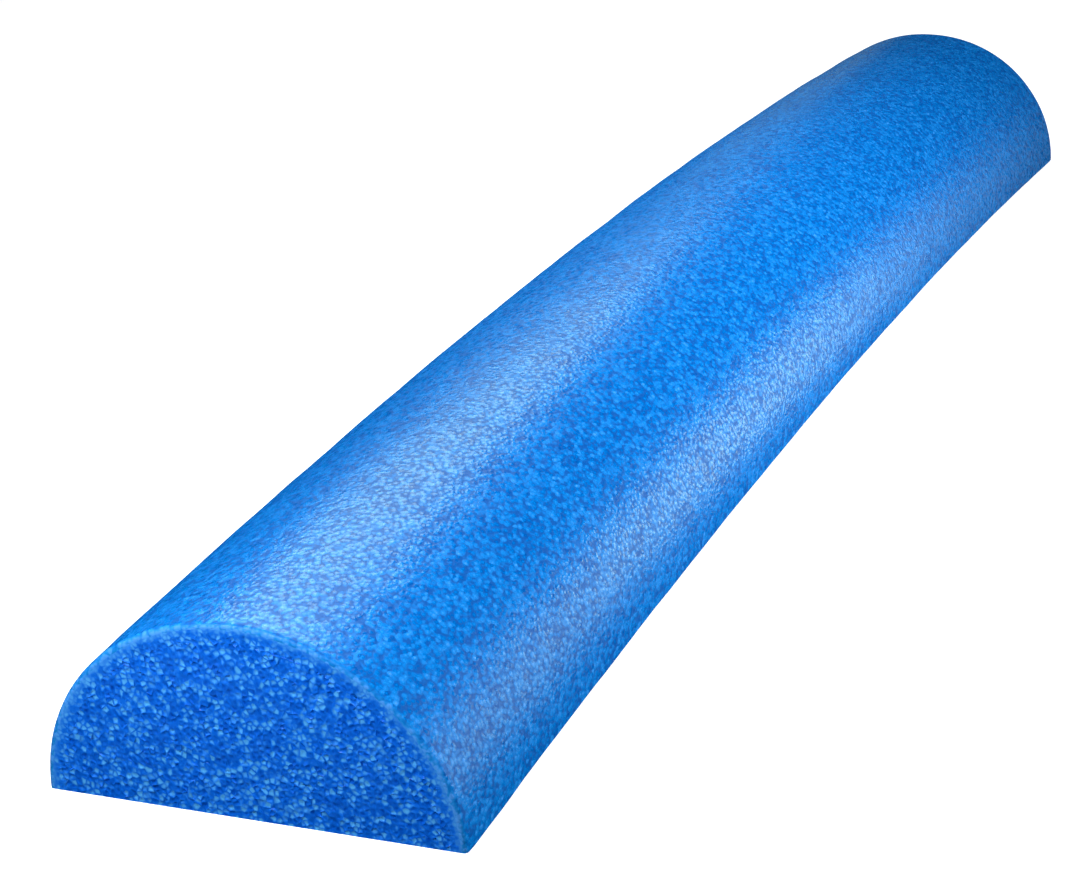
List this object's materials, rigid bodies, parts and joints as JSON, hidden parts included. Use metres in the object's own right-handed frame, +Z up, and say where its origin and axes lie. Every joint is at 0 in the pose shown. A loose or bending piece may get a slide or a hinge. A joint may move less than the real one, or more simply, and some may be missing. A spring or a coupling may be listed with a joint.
{
  "type": "half-round foam roller",
  "caption": "Half-round foam roller: an arched bar of blue closed-cell foam with a smooth curved skin, a flat cut underside and square-cut ends.",
  "frame": {"origin": "midway between the two ends and the two long edges, on the floor that the ends stand on", "axes": "+Z up from the flat side to the crest, +Y along the roller, +X across it"},
  "size_m": [0.1524, 0.9228, 0.0861],
  "materials": {
    "coarse_foam": "cut closed cells, 1 to 3 mm across",
    "fine_foam": "dense small cells, nearly smooth where cut",
    "foam_skin": "satin skin with a fine pebbled grain"
  },
  "bodies": {
    "root": {"foam_core": "coarse_foam", "fine_cell_layer": "fine_foam", "outer_skin": "foam_skin"}
  },
  "joints": []
}
